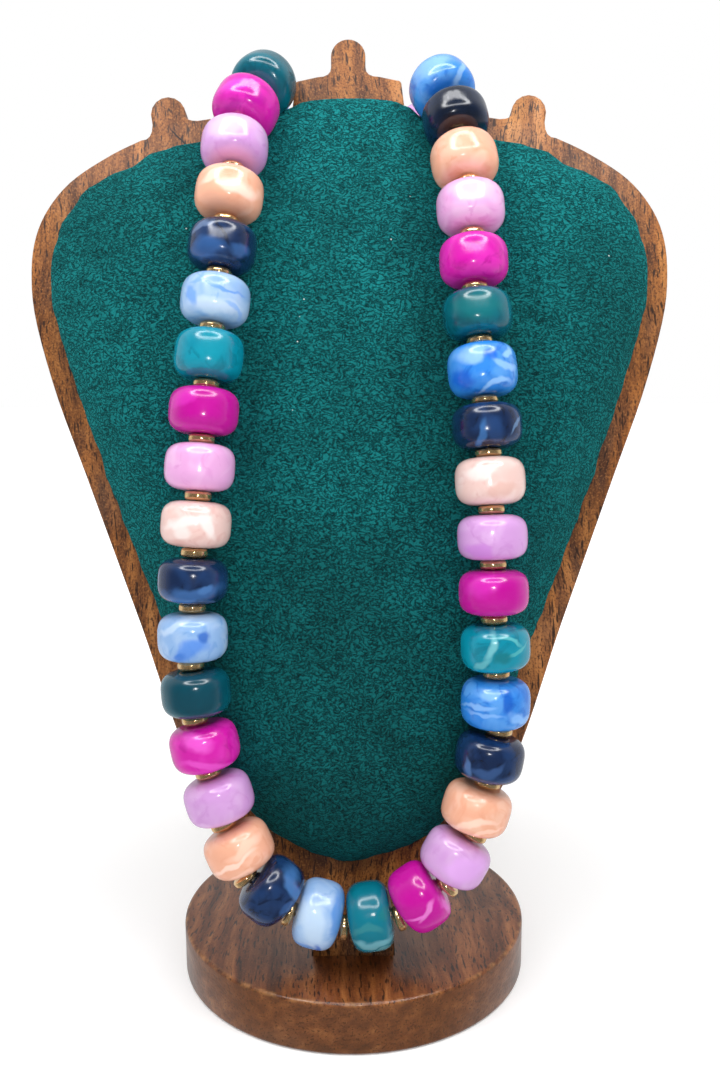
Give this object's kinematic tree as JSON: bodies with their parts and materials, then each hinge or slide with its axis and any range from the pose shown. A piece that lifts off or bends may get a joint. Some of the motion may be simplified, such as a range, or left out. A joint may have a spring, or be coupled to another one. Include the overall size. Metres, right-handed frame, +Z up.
{
  "type": "beaded necklace on display stand",
  "caption": "Long necklace of large rounded resin beads with gold-coloured spacer rings, laid over a leaning, velvet-padded wooden display board on a round foot.",
  "frame": {"origin": "centre of the round foot's underside, on the surface it stands on", "axes": "+Z up, the padded front faces -Y, +X to the right of someone who looks at the front"},
  "size_m": [0.198, 0.1122, 0.293],
  "materials": {
    "walnut": "satin",
    "velvet": "short pile",
    "gold_metal": "polished",
    "resin_sky_blue": "gloss",
    "resin_navy": "gloss",
    "resin_peach": "gloss",
    "resin_lilac": "gloss",
    "resin_magenta": "gloss",
    "resin_dark_teal": "gloss",
    "resin_blush": "gloss",
    "resin_pink": "gloss",
    "resin_teal": "gloss",
    "resin_blue": "gloss"
  },
  "bodies": {
    "root": {"base": "walnut", "board": "walnut", "velvet_pad": "velvet", "string_and_rings": "gold_metal", "clasp": "gold_metal", "bead_left_01": "resin_sky_blue", "bead_left_02": "resin_navy", "bead_left_03": "resin_peach", "bead_left_04": "resin_lilac", "bead_left_05": "resin_magenta", "bead_left_06": "resin_dark_teal", "bead_left_07": "resin_sky_blue", "bead_left_08": "resin_navy", "bead_left_09": "resin_blush", "bead_left_10": "resin_pink", "bead_left_11": "resin_magenta", "bead_left_12": "resin_teal", "bead_left_13": "resin_sky_blue", "bead_left_14": "resin_navy", "bead_left_15": "resin_peach", "bead_left_16": "resin_lilac", "bead_left_17": "resin_magenta", "bead_left_18": "resin_dark_teal", "bead_left_19": "resin_blue", "bead_left_20": "resin_pink", "bead_left_21": "resin_navy", "bead_right_01": "resin_dark_teal", "bead_right_02": "resin_magenta", "bead_right_03": "resin_lilac", "bead_right_04": "resin_peach", "bead_right_05": "resin_navy", "bead_right_06": "resin_blue", "bead_right_07": "resin_teal", "bead_right_08": "resin_magenta", "bead_right_09": "resin_lilac", "bead_right_10": "resin_blush", "bead_right_11": "resin_navy", "bead_right_12": "resin_blue", "bead_right_13": "resin_dark_teal", "bead_right_14": "resin_magenta", "bead_right_15": "resin_pink", "bead_right_16": "resin_peach", "bead_right_17": "resin_navy", "bead_right_18": "resin_blue", "bead_right_19": "resin_lilac", "bead_right_20": "resin_peach", "bead_right_21": "resin_teal"}
  },
  "joints": []
}
